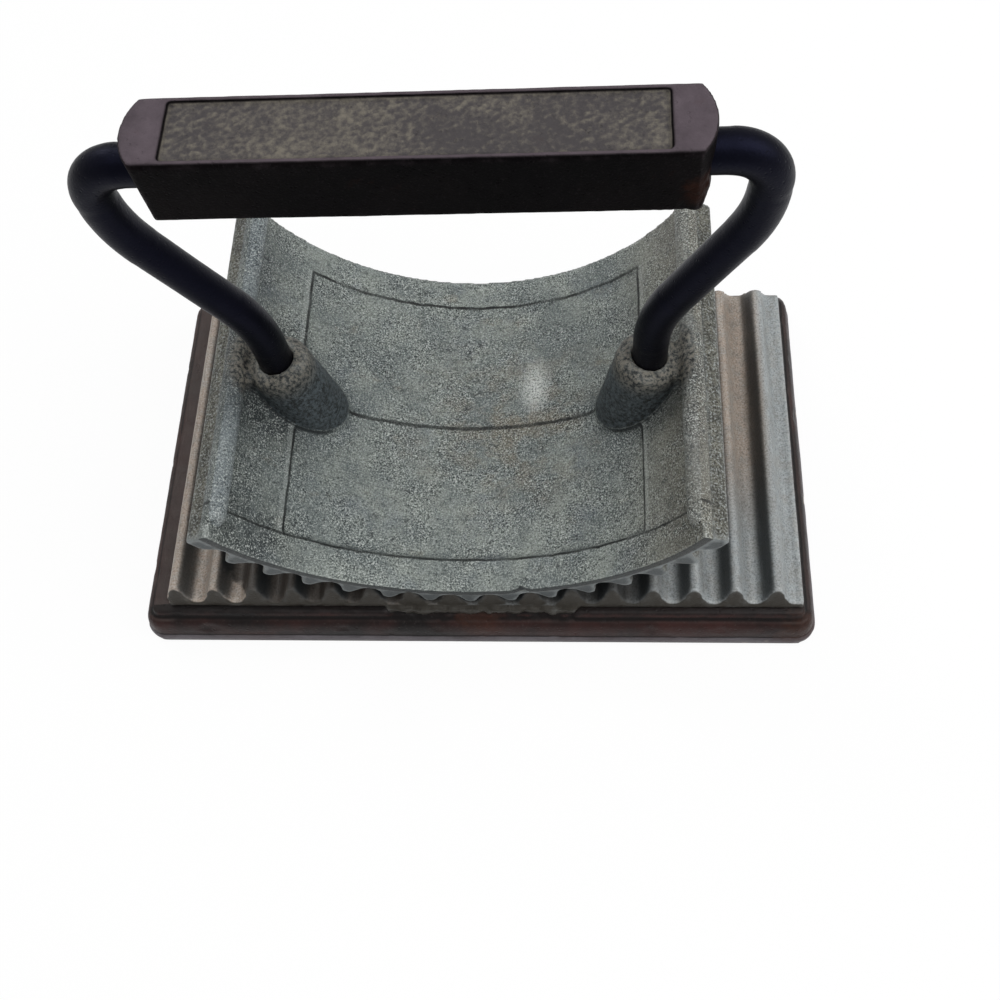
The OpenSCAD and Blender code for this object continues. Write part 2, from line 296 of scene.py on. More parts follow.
def grain_group(speck_mm: float = 0.9, mottle_relief: float = 0.8) -> bpy.types.NodeTree:
    """Sand-cast skin at three scales: fine grains, mottling and broad patches.

    Args:
        speck_mm: how far apart the pits lie.
        mottle_relief: how high the mottling stands against the fine grains.

    Returns:
        A group with the three clouds, masks for dark grains, pale glints and pits, and a height for bump.
    """
    names = ("Fine", "Mottle", "Patch", "Dark", "Glint", "Speck", "Height")
    maker = GroupMaker("CastGrain", {"Size": 1.0}, names)
    graph = maker.graph
    scaled = {0: graph.place, "Scale": maker.given["Size"]}
    where = graph.add("VectorMath", scaled, operation="SCALE")[0]
    fine = graph.cloud(Cloud(size_mm=0.42, detail=3.0, rough=0.7), where)
    mottle = graph.cloud(Cloud(size_mm=2.4, detail=5.0, rough=0.62), where)
    patch = graph.cloud(Cloud(size_mm=15.0, detail=4.0, rough=0.6), where)
    spaced = {"Vector": where, "Scale": 1 / (speck_mm * MM), "Randomness": 1.0}
    cells = graph.add("TexVoronoi", spaced, feature="F1")["Distance"]
    middles = graph.mask(cells, Levels(none=0.34, full=0.12))
    pits = graph.times(middles, graph.mask(mottle, Levels(none=0.46, full=0.62)))
    swell = graph.maths("ADD", fine, graph.maths("MULTIPLY", mottle, mottle_relief))
    return maker.finish(
        fine=fine, mottle=mottle, patch=patch, speck=pits,
        dark=graph.mask(fine, Levels(none=0.495, full=0.39)),
        glint=graph.mask(fine, Levels(none=0.53, full=0.64)),
        height=graph.maths("SUBTRACT", swell, pits))


def wear_group(dirt_raggedness: float = 0.6) -> bpy.types.NodeTree:
    """Where handling rubs a casting bright, and where dirt stays.

    Args:
        dirt_raggedness: how ragged the dirt's edges are against those of the rubbed metal.

    Returns:
        A group with masks for rubbed edges and for hollows that hold dirt.
    """
    maker = GroupMaker("EdgeWear", {"Rub": 0.5, "Dirt": 0.5}, ("Edge", "Hollow"))
    graph = maker.graph
    broken = graph.cloud(Cloud(size_mm=3.2, detail=5.0, rough=0.65))
    ragged = graph.span(broken, -0.45, 0.55)
    wear_and_highlight = graph.maths("ADD", graph.mark(EDGE_ATTRIBUTE), ragged)
    edge = graph.times(graph.mask(wear_and_highlight, Levels(none=0.15, full=0.75)), maker.given["Rub"])
    less_ragged = graph.maths("MULTIPLY", ragged, dirt_raggedness)
    caught = graph.maths("ADD", graph.mark(HOLLOW_ATTRIBUTE), less_ragged)
    hollow = graph.times(graph.mask(caught, Levels(none=0.1, full=0.7)), maker.given["Dirt"])
    return maker.finish(edge=edge, hollow=hollow)


def rust_group(pull: float = 0.55) -> bpy.types.NodeTree:
    """Rust that blooms in ragged blots where a mask lets it.

    Args:
        pull: how strongly the mask draws the rust.

    Returns:
        A group with the rust's mask and a tone that runs from dark to orange.
    """
    maker = GroupMaker("RustBloom", {"Where": 0.0, "Amount": 0.5}, ("Mask", "Tone"))
    graph = maker.graph
    blots = graph.cloud(Cloud(size_mm=5.5, detail=6.0, rough=0.66))
    crumbs = graph.cloud(Cloud(size_mm=0.8, detail=4.0, rough=0.7))
    bloom = graph.maths("ADD", blots, graph.maths("MULTIPLY", maker.given["Where"], pull))
    mask = graph.times(graph.mask(bloom, Levels(none=0.62, full=0.88)), maker.given["Amount"])
    return maker.finish(mask=mask, tone=graph.times(crumbs, graph.span(blots, 0.6, 1.4)))


def settle_group() -> bpy.types.NodeTree:
    """Dust and fading on what faces up.

    Returns:
        A group with one mask.
    """
    maker = GroupMaker("SettledDust", {"Amount": 0.5}, ("Mask",))
    graph = maker.graph
    up = graph.mask(graph.facing["Z"], Levels(none=0.7, full=0.97))
    patches = graph.cloud(Cloud(size_mm=4.0, detail=5.0, rough=0.6))
    uneven = graph.maths("MULTIPLY", up, graph.span(patches, 0.35, 1.1))
    return maker.finish(mask=graph.times(uneven, maker.given["Amount"]))


@dataclass(frozen=True)
class Effects:
    """The node groups that the finishes share."""

    grain: bpy.types.NodeTree
    wear: bpy.types.NodeTree
    rust: bpy.types.NodeTree
    settle: bpy.types.NodeTree

    @staticmethod
    def make() -> "Effects":
        """Builds every shared group once."""
        return Effects(grain_group(), wear_group(), rust_group(), settle_group())


class Surface(Graph):
    """The tree of one piece's material, with the values that its coat starts from."""

    def __init__(self, tree: bpy.types.NodeTree, effects: Effects, finish: "Finish") -> None:
        """Adds the place along each axis, and the shared skin and wear.

        Args:
            tree: the material's tree.
            effects: the shared groups.
            finish: the finish that sets their amounts.
        """
        super().__init__(tree)
        self.effects = effects
        self.x, self.y, self.z = self.axes(self.place)
        self.grain = self.use(effects.grain, size=finish.grain_size)
        self.wear = self.use(effects.wear, rub=finish.rub, dirt=finish.dirt)

    def spot(self, spot: Spot, where: Socket | None = None) -> Socket:
        """A mask that is one at a place and fades out over a reach round it, all in millimetres.

        Args:
            spot: the place's x, y and z, and the reach.
            where: other coordinates, where they aren't the piece's own.

        Returns:
            The mask.
        """
        *centre, reach = spot
        ends = {0: self.place if where is None else where, 1: tuple(c * MM for c in centre)}
        off = self.add("VectorMath", ends, operation="DISTANCE")["Value"]
        return self.reach(off, Levels(none=reach, full=0.0))


@dataclass(frozen=True)
class Finish:
    """One material: its name, its main colours and how its skin is built up."""

    name: str
    body: str
    dark: str
    bright: str
    # Dark colour for dirt in hollows and dark grains, which some finishes also use for painted shade and
    # painted shadow.
    stain_and_shade: str
    metallic: float = 0.2
    specular: float = 0.4
    sheen_tint: str = "ffffff"
    rough_low: float = 0.45
    rough_high: float = 0.7
    rubbed_gloss: float = 0.12
    grain_size: float = 1.0
    grain_share: float = 1.0
    bump_mm: float = 0.08
    rub: float = 0.6
    dirt: float = 0.6

    def coat(self, graph: Surface) -> Socket:
        """The finish's own colour, over the shared skin.

        Args:
            graph: the material's tree.

        Returns:
            The colour that feeds the shader.
        """
        raise NotImplementedError(self.name)

    def metal(self, graph: Surface, value: Socket, levels: Levels = BROKEN) -> Socket:
        """The body colour broken by the dark one, by two levels of a noise."""
        return graph.blend(graph.mask(value, levels), linear(self.dark), linear(self.body))

    def worn(self, graph: Surface, colour: Socket) -> Socket:
        """The colour with dirt in its hollows and bright metal on its edges."""
        return graph.lay(colour, (graph.wear["Hollow"], self.stain_and_shade), (graph.wear["Edge"], self.bright))

    def grained(self, graph: Surface, colour: Socket, amount: object) -> Socket:
        """The colour broken up by dark grains, pale glints and pits."""
        layers = (("Dark", self.stain_and_shade), ("Glint", self.bright), ("Speck", self.stain_and_shade))
        return graph.lay(colour, *((graph.times(graph.grain[name], amount), code) for name, code in layers))

    def material(self, effects: Effects) -> bpy.types.Material:
        """Builds the material.

        Args:
            effects: the shared groups.

        Returns:
            A material with colour, roughness and bump that vary over the surface.
        """
        made = bpy.data.materials.new(self.name)
        made.use_nodes = True
        graph = Surface(made.node_tree, effects, self)
        rough = graph.span(graph.grain["Mottle"], self.rough_low, self.rough_high)
        glossier = graph.maths("MULTIPLY", graph.wear["Edge"], self.rubbed_gloss)
        relief = {"Strength": 1.0, "Distance": self.bump_mm * MM, "Height": graph.grain["Height"]}
        inputs = {
            "Base Color": self.coat(graph),
            "Roughness": graph.maths("SUBTRACT", rough, glossier),
            "Metallic": self.metallic,
            "Specular IOR Level": self.specular,
            "Specular Tint": linear(self.sheen_tint),
            "Normal": graph.add("Bump", relief)[0],
        }
        for name, value in inputs.items():
            graph.feed(made.node_tree.nodes["Principled BSDF"].inputs[name], value)
        return made


@dataclass(frozen=True)
class ShellPlace:
    """Where a point of the shell lies: along the field from its lowest line, and off the axes."""

    along: Socket
    radius: Socket
    boss_off: Socket

    @staticmethod
    def find(graph: Surface) -> "ShellPlace":
        """Works out the way round the roll axis and the distances from it and from the nearer boss's axis.

        Args:
            graph: the material's tree.

        Returns:
            The three values, in metres.
        """
        drop = graph.maths("SUBTRACT", ROLL_Z_MM * MM, graph.z)
        turn = graph.maths("ABSOLUTE", graph.maths("ARCTAN2", graph.x, drop))
        along = graph.maths("MULTIPLY", turn, FIELD_R_MM * MM)
        lean = graph.maths("MULTIPLY", graph.maths("SUBTRACT", BOSS_TOP_MM * MM, graph.z), BOSS_SLOPE)
        axis = graph.maths("SUBTRACT", BOSS_X_MM * MM, lean)
        across = graph.maths("SUBTRACT", graph.maths("ABSOLUTE", graph.x), axis)
        return ShellPlace(along, graph.hypot(graph.x, drop), graph.hypot(across, graph.y))


@dataclass(frozen=True)
class ShellFinish(Finish):
    """Mottled grey-green casting with dark grains, pale glints, sooty bosses and smoother rails."""

    warm: str = "857a66"
    cool: str = "616a72"
    rim: str = "202527"
    rail: str = "828c92"
    boss: str = "50595e"
    boss_dark: str = "0c0f10"
    crust: str = "7f786a"
    # Colour of the painted shade in the panel's steps and the rim's nick.
    crease_shade: str = "0d1011"
    # Colour of the painted glint: a white highlight painted into the trough.
    wear_and_highlight: str = "e2e5e1"
    cool_patches: Cloud = Cloud(size_mm=13.0, detail=5.0, rough=0.62)
    warm_blots: Cloud = Cloud(size_mm=8.0, detail=5.0, rough=0.62, scale=(1.0, 1.3, 1.0))
    scratches: Cloud = Cloud(size_mm=0.7, detail=4.0, rough=0.6, scale=(0.09, 1.0, 0.09))
    boss_pits: Cloud = Cloud(size_mm=0.75, detail=5.0, rough=0.72)
    warm_spot: Spot = (9.0, 0.0, 19.0, 30.0)
    warm_right_mm: Levels = Levels(none=28.0, full=42.0, share=0.4)
    steep_mm: Levels = Levels(none=40.0, full=52.0)
    raised_mm: Levels = Levels(none=RAISED_R_MM + 0.3, full=RAISED_R_MM - 0.2)
    wall_mm: Levels = Levels(none=RAISED_R_MM, full=RAISED_R_MM + 0.3)
    rim_mm: Levels = Levels(none=RAISED_R_MM + 0.1, full=RAISED_R_MM + 0.4, share=0.9)
    pale_rail_mm: Levels = Levels(none=10.0, full=-10.0)
    boss_soot_mm: Levels = Levels(none=13.0, full=8.0)
    # Painted shade beside the left boss and in the left front corner.
    boss_shade_mm: Levels = Levels(none=19.0, full=8.0)
    shade_left_mm: Levels = Levels(none=-30.0, full=-39.0)
    shaded_corner: Spot = (-40.0, -35.0, 38.0, 17.0)
    corner_share: float = 0.8
    boss_edge_mm: Levels = Levels(none=9.6, full=8.6, share=0.92)
    crust_height_mm: Levels = Levels(none=42.0, full=48.0)
    crust_reach_mm: Levels = Levels(none=10.5, full=7.5)
    panel_step_mm: float = 0.2
    crease_mm: float = 0.44
    middle_crease_mm: float = 0.594
    side_crease_mm: float = 0.528
    crease_share: float = 0.95
    lip_off_mm: float = 0.7
    lip_mm: float = 0.8
    lip_share: float = 0.2
    crack_spot: Spot = (10.8, -37.4, 19.8, 2.6)
    # Place and stretch of the painted glint, a highlight painted into the colour.
    painted_glint_spot: Spot = (13.0, 5.0, 20.4, 5.0)
    painted_glint_scale: Point = (1.0, 0.55, 1.0)

    def ground(self, graph: Surface, at: ShellPlace) -> Socket:
        """Bare metal in cool and warm patches, scratched along the trough and darker up its walls.

        Args:
            graph: the material's tree.
            at: where the point lies.

        Returns:
            The colour under grime and grains.
        """
        mottle = graph.grain["Mottle"]
        blots = graph.cloud(self.warm_blots)
        middle = graph.mask(blots, Levels(none=0.42, full=0.6, share=0.6))
        cool = graph.cloud(self.cool_patches)
        scratches = graph.cloud(self.scratches)
        return graph.lay(
            self.metal(graph, graph.grain["Patch"]),
            (graph.mask(cool, Levels(none=0.5, full=0.7, share=0.6)), self.cool),
            (graph.mask(blots, Levels(none=0.6, full=0.74, share=0.4)), self.warm),
            (graph.times(graph.spot(self.warm_spot), middle), self.warm),
            (graph.mask(scratches, Levels(none=0.56, full=0.72, share=0.5)), self.stain_and_shade),
            (graph.times(graph.reach(at.along, self.steep_mm), graph.span(mottle, 0.0, 0.7)), self.stain_and_shade),
            (graph.reach(graph.x, self.warm_right_mm), self.warm),
            (graph.mask(mottle, Levels(none=0.47, full=0.3, share=0.6)), self.stain_and_shade))

    def sooted_and_shaded(self, graph: Surface, at: ShellPlace, colour: Socket) -> Socket:
        """The colour with soot round the bosses, and painted shade beside the left one and in the left
        front corner.

        Args:
            graph: the material's tree.
            at: where the point lies.
            colour: the colour so far.

        Returns:
            The colour with its soot and painted shade.
        """
        mottle = graph.grain["Mottle"]
        sooty = graph.times(graph.reach(at.boss_off, self.boss_soot_mm), graph.span(mottle, 0.1, 0.7))
        # Painted shade beside the left boss and in the left front corner.
        left = graph.reach(graph.x, self.shade_left_mm)
        beside = graph.times(graph.reach(at.boss_off, self.boss_shade_mm), left)
        corner = graph.times(graph.spot(self.shaded_corner), self.corner_share)
        patchy = graph.span(graph.mask(mottle, Levels(none=0.3, full=0.62)), 0.35, 0.95)
        painted_shade = graph.times(graph.most(beside, corner), patchy)
        return graph.lay(colour, (sooty, self.boss), (painted_shade, self.stain_and_shade))

    def bossed(self, graph: Surface, at: ShellPlace, raised: Socket, colour: Socket) -> Socket:
        """The colour with dark pitted bosses and a pale crust round their tops.

        Args:
            graph: the material's tree.
            at: where the point lies.
            raised: a mask for the bosses and rails.
            colour: the colour so far.

        Returns:
            The colour with its bosses.
        """
        pits = graph.cloud(self.boss_pits)
        floors = graph.mask(pits, Levels(none=0.38, full=0.62))
        pitted = graph.blend(floors, linear(self.boss_dark), linear(self.boss))
        on_boss = graph.times(raised, graph.reach(at.boss_off, self.boss_edge_mm))
        crusted = graph.times(
            graph.reach(graph.z, self.crust_height_mm), graph.reach(at.boss_off, self.crust_reach_mm),
            graph.mask(pits, Levels(none=0.4, full=0.6, share=0.75)))
        return graph.lay(graph.blend(on_boss, colour, pitted), (crusted, self.crust))

    def painted_creases(self, graph: Surface, at: ShellPlace, colour: Socket) -> Socket:
        """The colour with painted shade in the steps round the sunk panel and behind the front land.

        Args:
            graph: the material's tree.
            at: where the point lies.
            colour: the colour without the dirt.

        Returns:
            The colour with black creases and a black crack at the rim's nick as painted shade, and pale
            lips at the panel's ends as painted highlights.
        """
        step = self.panel_step_mm
        wander = graph.wander(size_mm=4.0, reach_mm=0.5)
        deep = graph.maths("ADD", graph.y, wander)
        along = graph.maths("ADD", at.along, wander)
        inside = graph.reach(along, Levels(none=PANEL_HALF_MM + step, full=PANEL_HALF_MM - step))
        off_middle = graph.maths("ABSOLUTE", deep)
        between = graph.reach(off_middle, Levels(none=PANEL_Y_MM + step, full=PANEL_Y_MM))
        front = graph.line(deep, -PANEL_Y_MM, self.crease_mm)
        back = graph.times(graph.line(deep, PANEL_Y_MM, self.crease_mm), inside)
        middle = graph.times(graph.line(deep, 0.0, self.middle_crease_mm), inside)
        sides = graph.times(graph.line(along, PANEL_HALF_MM - step, self.side_crease_mm), between)
        broken = graph.span(graph.cloud(Cloud(size_mm=6.0)), 0.15, 1.6)
        wear_and_highlight = graph.span(graph.cloud(Cloud(size_mm=5.0)), 0.0, 1.8)
        on_wall = graph.reach(at.radius, self.wall_mm)
        # Black lines in the panel's steps and at the rim's nick: painted shade.
        lines = graph.times(graph.most(front, back, middle, sides), broken, on_wall)
        # Pale lips outside the panel's side steps: painted highlights.
        lips = graph.line(along, PANEL_HALF_MM + self.lip_off_mm, self.lip_mm)
        lips = graph.times(lips, between, wear_and_highlight, on_wall, self.lip_share)
        torn = graph.mask(graph.grain["Mottle"], Levels(none=0.5, full=0.58))
        lines = graph.most(lines, graph.times(graph.spot(self.crack_spot), torn))
        return graph.lay(
            colour,
            (lips, self.bright),
            (graph.times(lines, self.crease_share), self.crease_shade))

    def coat(self, graph: Surface) -> Socket:
        """Grey-green metal under grains, with pale rails, dark bosses, a painted glint, and painted shade
        in the creases.

        Args:
            graph: the material's tree.

        Returns:
            The colour that feeds the shader.
        """
        at = ShellPlace.find(graph)
        raised = graph.reach(at.radius, self.raised_mm)
        paler_left = graph.span(graph.reach(graph.x, self.pale_rail_mm), 0.15, 0.5)
        colour = graph.lay(self.ground(graph, at), (graph.times(raised, paler_left), self.rail))
        colour = self.sooted_and_shaded(graph, at, colour)
        sandy = graph.mask(graph.cloud(Cloud(size_mm=9.0)), Levels(none=0.36, full=0.64))
        colour = self.grained(graph, colour, graph.span(sandy, 0.5, 1.0))
        colour = self.bossed(graph, at, raised, colour)
        # Painted glint: a white highlight spot on the trough, broken by the fine grain.
        painted_glint = graph.spot(self.painted_glint_spot, graph.stretch(graph.place, self.painted_glint_scale))
        painted_glint = graph.times(painted_glint, graph.mask(graph.grain["Fine"], Levels(none=0.3, full=0.62, share=0.85)))
        colour = self.worn(graph, graph.lay(colour, (painted_glint, self.wear_and_highlight)))
        colour = self.painted_creases(graph, at, colour)
        end_face = graph.mask(graph.maths("ABSOLUTE", graph.facing["Y"]), Levels(none=0.5, full=0.85))
        return graph.lay(colour, (graph.times(end_face, graph.reach(at.radius, self.rim_mm)), self.rim))


@dataclass(frozen=True)
class BedFinish(Finish):
    """Zinc flutes: tan and blue-grey floors, a painted shadow under the rocker, painted shade on the flanks
    towards it, and darker ends.
    """

    tan: str = "ac9c8e"
    tan_share: float = 0.85
    cool: str = "9da4a7"
    cool_share: float = 0.75
    # Colour of the painted shade on the flanks that face the rocker.
    flank_shade: str = "25292b"
    end_face: str = "2d2922"
    streaks: Cloud = Cloud(size_mm=2.2, detail=5.0, rough=0.62, scale=(1.0, 0.12, 1.0))
    tan_left_mm: Levels = Levels(none=5.0, full=-25.0)
    tan_groove_mm: tuple[Levels, Levels] = (Levels(none=50.0, full=54.0), Levels(none=64.5, full=61.5))
    tan_back_mm: Levels = Levels(none=-26.0, full=4.0)
    # Painted shadow that the rocker casts on the bed: its sides, blur and front edge.
    shadow_sides_mm: tuple[Levels, Levels] = (Levels(none=-62.0, full=-50.0), Levels(none=44.0, full=32.0))
    shadow_blur_mm: float = 7.0
    shadow_front_mm: Levels = Levels(none=-38.9, full=-37.3)
    arc_from_mm: float = -48.0
    arc_slope: float = 1.4
    dark_front_mm: Levels = Levels(none=-37.7, full=-38.1)

    def tinted(self, graph: Surface, colour: Socket) -> Socket:
        """The colour turned tan at the left and at the back of a right groove, and blue-grey elsewhere.

        Args:
            graph: the material's tree.
            colour: the colour so far.

        Returns:
            The tinted colour.
        """
        patchy = graph.span(graph.mask(graph.grain["Mottle"], Levels(none=0.34, full=0.62)), 0.45, 1.0)
        groove = graph.times(
            *(graph.reach(graph.x, side) for side in self.tan_groove_mm),
            graph.reach(graph.y, self.tan_back_mm))
        warm = graph.most(graph.reach(graph.x, self.tan_left_mm), groove)
        blue = graph.times(graph.maths("SUBTRACT", 1.0, warm), patchy, self.cool_share)
        return graph.lay(colour, (blue, self.cool), (graph.times(warm, patchy, self.tan_share), self.tan))

    def rocker_shadow(self, graph: Surface, streaks: Socket) -> Socket:
        """A mask for the painted shadow that the rocker casts on the bed, whose front edge turns back along
        its arc at the left.

        Args:
            graph: the material's tree.
            streaks: noise drawn out along the flutes.

        Returns:
            The mask.
        """
        blur = graph.span(graph.grain["Patch"], -self.shadow_blur_mm * MM, self.shadow_blur_mm * MM)
        blurred = graph.maths("ADD", graph.x, blur)
        past = graph.maths("MINIMUM", graph.maths("SUBTRACT", blurred, self.arc_from_mm * MM), 0.0)
        front = graph.maths("ADD", graph.y, graph.maths("MULTIPLY", past, self.arc_slope))
        return graph.times(
            *(graph.reach(blurred, side) for side in self.shadow_sides_mm),
            graph.reach(front, self.shadow_front_mm), graph.span(streaks, 0.7, 1.05))

    def coat(self, graph: Surface) -> Socket:
        """Streaked zinc with its tints by place, a painted shadow under the rocker, painted shade on the
        flanks facing it and darker end faces.

        Args:
            graph: the material's tree.

        Returns:
            The colour that feeds the shader.
        """
        streaks = graph.cloud(self.streaks)
        colour = self.tinted(graph, self.metal(graph, streaks))
        colour = self.grained(graph, colour, self.grain_share)
        # Flanks that face the rocker get painted shade.
        outward = graph.maths("MULTIPLY", graph.facing["X"], graph.maths("SIGN", graph.x))
        inward = graph.maths("SUBTRACT", graph.span(streaks, -0.2, 0.2), outward)
        ends = graph.mask(graph.maths("ABSOLUTE", graph.facing["Y"]), Levels(none=0.4, full=0.75))
        ends = graph.most(ends, graph.reach(graph.y, self.dark_front_mm))
        dark_ends = graph.times(ends, graph.span(graph.cloud(Cloud(size_mm=3.0)), 0.75, 1.3))
        return self.worn(graph, graph.lay(
            colour,
            # Painted shadow under the rocker.
            (self.rocker_shadow(graph, streaks), self.stain_and_shade),
            (graph.mask(inward, Levels(none=0.28, full=0.95, share=0.9)), self.flank_shade),
            (dark_ends, self.end_face)))


@dataclass(frozen=True)
class SoleFinish(Finish):
    """Zinc teeth: grey end faces, thin bright outlines and black undersides as painted shade."""

    end_face: str = "454b4d"
    underside_shade: str = "0a0b0c"

    def coat(self, graph: Surface) -> Socket:
        """Speckled strip beside the rails, grey tooth ends and painted shade below.

        Args:
            graph: the material's tree.

        Returns:
            The colour that feeds the shader.
        """
        colour = self.grained(graph, self.metal(graph, graph.grain["Mottle"]), self.grain_share)
        # Faces that point down get painted shade.
        below = graph.mask(graph.facing["Z"], Levels(none=0.2, full=-0.25, share=0.92))
        ends = graph.mask(graph.maths("ABSOLUTE", graph.facing["Y"]), Levels(none=0.5, full=0.8))
        cloudy = graph.cloud(Cloud(size_mm=4.0, detail=5.0, rough=0.62))
        ends = graph.times(ends, graph.span(cloudy, 0.55, 1.25))
        return self.worn(graph, graph.lay(colour, (below, self.underside_shade), (ends, self.end_face)))


@dataclass(frozen=True)
class JapanFinish(Finish):
    """Old dark japan on iron, with dust on top and rust where it broke."""

    metallic: float = 0.0
    rust_dark: str = "1d100d"
    rust_light: str = "4c2a1a"
    rust_spots: tuple[Spot, ...] = ()
    rust_amount: float = 0.6
    dust: str = "5a504b"
    dust_amount: float = 0.3
    dust_from_x_mm: float = 0.0
    dust_fade_mm: float = 3.0
    speckle: float = 0.3
    band: str = "6d696d"
    band_mm: float = 0.0
    band_fade_mm: float = 0.3
    band_patches: Cloud = Cloud(size_mm=3.0, detail=6.0, rough=0.7, scale=(0.4, 0.4, 1.0))
    # Heights and half widths of black lines of painted shade in the moulding's grooves.
    seams_mm: tuple[Pair, ...] = ()
    seam_share: float = 0.9
    chip: str = "a49b93"
    chip_spots: tuple[Spot, ...] = ()
    floor: str = "464344"
    fleck: str = "6e6960"
    floor_mm: float = 0.0
    floor_side_mm: Levels = Levels(none=5.7, full=5.4)
    floor_top_mm: Levels = Levels(none=0.45, full=0.2)
    floor_foot_mm: Levels = Levels(none=-1.2, full=-0.8)
    flecks: Cloud = Cloud(size_mm=0.9, detail=5.0, rough=0.7)
    fleck_height_mm: Levels = Levels(none=-0.1, full=0.25, share=0.25)
    fleck_patches: float = 0.6
    # Painted shade along the bed's foot: its distances to the front, fades and heights.
    crevice_mm: Pair = (0.0, 0.0)
    crevice_fade_mm: Pair = (0.3, 0.5)
    crevice_height_mm: Levels = Levels(none=7.0, full=7.8)
    crevice_share: float = 0.85

    def dusted(self, graph: Surface, colour: Socket) -> Socket:
        """The colour with dust on what faces up, in full only beyond a distance from the middle.

        Args:
            graph: the material's tree.
            colour: the colour so far.

        Returns:
            The dusty colour.
        """
        settled = graph.use(graph.effects.settle, amount=self.dust_amount)["Mask"]
        if self.dust_from_x_mm:
            edge = Levels(none=self.dust_from_x_mm, full=self.dust_from_x_mm + self.dust_fade_mm)
            far = graph.reach(graph.maths("ABSOLUTE", graph.x), edge)
            settled = graph.times(settled, graph.span(far, 0.15, 1.0))
        return graph.lay(colour, (settled, self.dust))

    def banded(self, graph: Surface, colour: Socket) -> Socket:
        """The colour with a greyer foot band and black seams at set heights, painted shade in the grooves
        of the moulding.

        Args:
            graph: the material's tree.
            colour: the colour so far.

        Returns:
            The colour with its band and seams.
        """
        edge = Levels(none=self.band_mm + self.band_fade_mm, full=self.band_mm - self.band_fade_mm)
        patchy = graph.span(graph.cloud(self.band_patches), 0.0, 1.6)
        colour = graph.lay(colour, (graph.times(graph.reach(graph.z, edge), patchy), self.band))
        # Black lines in the moulding's grooves: painted shade.
        for at_mm, half_mm in self.seams_mm:
            seam = graph.line(graph.z, at_mm, half_mm, core=0.4)
            colour = graph.lay(colour, (graph.times(seam, self.seam_share), self.stain_and_shade))
        return colour

    def floored(self, graph: Surface, colour: Socket) -> Socket:
        """The colour with a dark panel floor that carries khaki flecks.

        Args:
            graph: the material's tree.
            colour: the colour so far.

        Returns:
            The colour with its panel floor.
        """
        above = graph.maths("SUBTRACT", graph.z, self.floor_mm * MM)
        sunk = graph.times(
            graph.mask(graph.facing["Z"], Levels(none=0.45, full=0.85)),
            graph.reach(graph.maths("ABSOLUTE", graph.y), self.floor_side_mm),
            graph.reach(above, self.floor_top_mm), graph.reach(above, self.floor_foot_mm))
        patch = graph.maths("MULTIPLY", graph.grain["Patch"], self.fleck_patches)
        uneven = graph.maths("ADD", patch, graph.cloud(self.flecks))
        uneven = graph.maths("ADD", graph.reach(above, self.fleck_height_mm), uneven)
        flecked = graph.times(sunk, graph.mask(uneven, Levels(none=0.7, full=1.2)))
        return graph.lay(colour, (sunk, self.floor), (flecked, self.fleck))

    def creviced(self, graph: Surface, colour: Socket) -> Socket:
        """The colour with a black line of painted shade along the foot of the bed, between two distances to
        the front.

        Args:
            graph: the material's tree.
            colour: the colour so far.

        Returns:
            The colour with its painted shade.
        """
        near, far = self.crevice_mm
        front = graph.maths("SUBTRACT", graph.wander(size_mm=3.0, reach_mm=0.5), graph.y)
        # Painted shade in the join where the bed's foot meets the base.
        dirt = graph.times(
            graph.reach(front, Levels(none=near, full=near + self.crevice_fade_mm[0])),
            graph.reach(front, Levels(none=far, full=far - self.crevice_fade_mm[1])),
            graph.reach(graph.z, self.crevice_height_mm), self.crevice_share)
        return graph.lay(colour, (dirt, self.stain_and_shade))

    def rusted(self, graph: Surface, colour: Socket) -> Socket:
        """The colour with rust round the named spots.

        Args:
            graph: the material's tree.
            colour: the colour so far.

        Returns:
            The rusty colour.
        """
        where = graph.most(*(graph.spot(spot) for spot in self.rust_spots))
        rust = graph.use(graph.effects.rust, where=where, amount=self.rust_amount)
        tone = graph.blend(rust["Tone"], linear(self.rust_dark), linear(self.rust_light))
        return graph.blend(rust["Mask"], colour, tone)

    def chipped(self, graph: Surface, colour: Socket) -> Socket:
        """The colour with bare metal in ragged chips round the named spots.

        Args:
            graph: the material's tree.
            colour: the colour so far.

        Returns:
            The chipped colour.
        """
        where = graph.most(*(graph.spot(spot) for spot in self.chip_spots))
        bare = graph.mask(graph.grain["Mottle"], Levels(none=0.5, full=0.6))
        return graph.lay(colour, (graph.times(where, bare), self.chip))

    def coat(self, graph: Surface) -> Socket:
        """Dark japan, dusty on top, with rust round the named spots and grey rubbed edges.

        Args:
            graph: the material's tree.

        Returns:
            The colour that feeds the shader.
        """
        speckled = graph.mask(graph.grain["Fine"], Levels(none=0.56, full=0.72, share=self.speckle))
        colour = self.metal(graph, graph.grain["Patch"], Levels(none=0.35, full=0.68))
        colour = self.dusted(graph, graph.lay(colour, (speckled, self.dust)))
        steps = (
            (self.band_mm, self.banded), (self.floor_mm, self.floored),
            (self.crevice_mm[1], self.creviced), (self.rust_spots, self.rusted))
        for wanted, step in steps:
            colour = step(graph, colour) if wanted else colour
        colour = self.worn(graph, colour)
        return self.chipped(graph, colour) if self.chip_spots else colour


class Shade(Enum):
    """The kinds of finish."""

    BASE = "base_iron"
    BED = "bed_zinc"
    SHELL = "rocker_metal"
    SOLE = "sole_zinc"
    ROD = "rod_iron"
    GRIP = "grip_iron"


